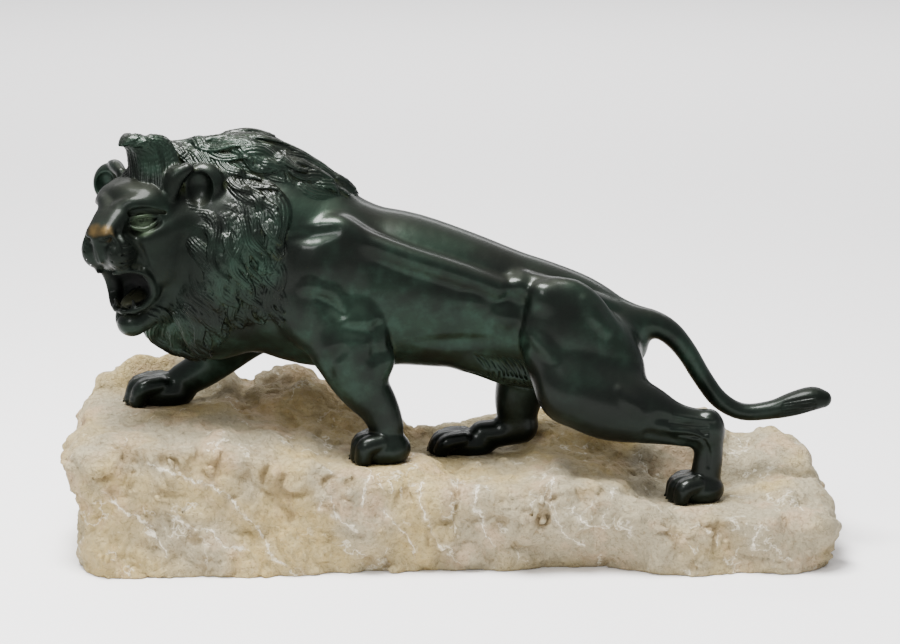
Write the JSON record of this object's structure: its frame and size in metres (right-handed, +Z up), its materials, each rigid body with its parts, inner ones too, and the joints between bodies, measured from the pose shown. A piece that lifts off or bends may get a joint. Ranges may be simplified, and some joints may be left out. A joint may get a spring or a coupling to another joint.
{
  "type": "bronze lion sculpture",
  "caption": "Cast bronze lion striding down a rough stone base, head turned to one side with its mouth open; a decorative sculpture that stands on a flat surface.",
  "frame": {"origin": "on the surface that the base stands on, under the middle of the whole part's bounding box", "axes": "+X along the lion's body from head to tail, +Y to the lion's right (away from the side its head turns to), +Z up"},
  "size_m": [0.7008, 0.2115, 0.3854],
  "materials": {
    "bronze": "dark green-black patinated bronze, waxed, browner where it is rubbed",
    "limestone": "rough split limestone, cream to grey-brown with white veins"
  },
  "bodies": {
    "root": {"lion": "bronze", "rock_base": "limestone"}
  },
  "joints": []
}
